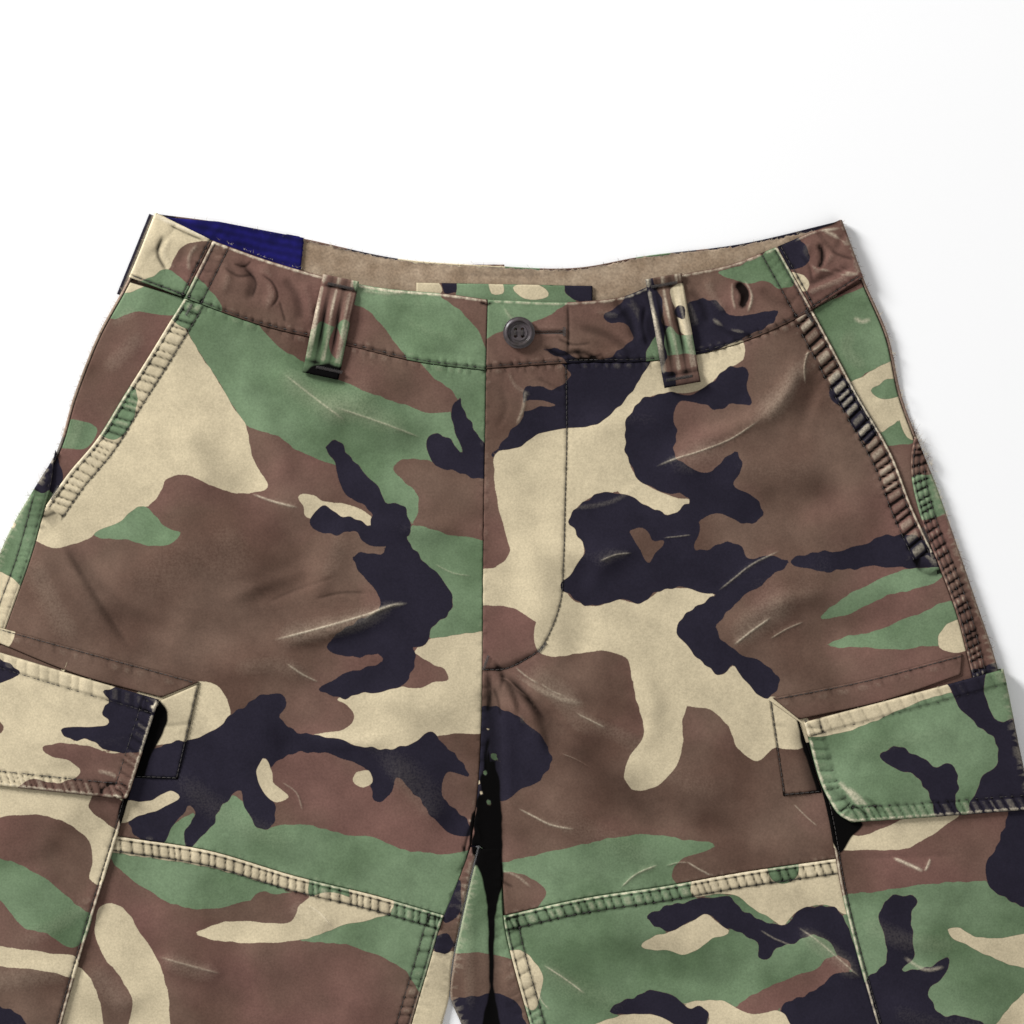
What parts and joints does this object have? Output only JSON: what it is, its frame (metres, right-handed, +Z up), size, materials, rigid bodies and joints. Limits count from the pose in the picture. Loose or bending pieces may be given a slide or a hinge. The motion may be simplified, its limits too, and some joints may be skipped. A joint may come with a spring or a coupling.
{
  "type": "camouflage cargo shorts",
  "caption": "Woodland camouflage cargo shorts laid flat face up: waistband with belt loops and a button, fly, slanted hand pockets, flapped cargo pockets.",
  "frame": {"origin": "centre of the garment's box, on the surface that it lies on", "axes": "+X to the wearer's left, +Y from the hems to the waist, +Z up off the surface"},
  "size_m": [0.7476, 0.5928, 0.0113],
  "materials": {
    "camouflage_cloth": "four-colour woodland print on washed cotton twill",
    "tan_cloth": "plain tan cotton twill, the print's wrong side",
    "label_cloth": "dark blue woven satin",
    "button_horn": "dark horn-coloured polyester, half gloss"
  },
  "bodies": {
    "root": {"right_back_panel": "camouflage_cloth", "right_front_panel": "camouflage_cloth", "right_thigh_panel": "camouflage_cloth", "right_pocket_facing": "camouflage_cloth", "right_cargo_pocket": "camouflage_cloth", "right_cargo_flap": "camouflage_cloth", "right_flap_band": "camouflage_cloth", "right_pocket_pleat": "camouflage_cloth", "left_back_panel": "camouflage_cloth", "left_front_panel": "camouflage_cloth", "left_thigh_panel": "camouflage_cloth", "left_pocket_facing": "camouflage_cloth", "left_cargo_pocket": "camouflage_cloth", "left_cargo_flap": "camouflage_cloth", "left_flap_band": "camouflage_cloth", "left_pocket_pleat": "camouflage_cloth", "fly_underlap": "camouflage_cloth", "waistband_back": "camouflage_cloth", "waistband_front_left": "camouflage_cloth", "waistband_front_right": "camouflage_cloth", "waist_inner_patch": "camouflage_cloth", "belt_loop_front_left": "camouflage_cloth", "belt_loop_front_right": "camouflage_cloth", "belt_loop_side_left": "camouflage_cloth", "belt_loop_side_right": "camouflage_cloth", "belt_loop_centre_back": "camouflage_cloth", "waistband_facing": "tan_cloth", "waist_label": "label_cloth", "waist_button": "button_horn"}
  },
  "joints": []
}
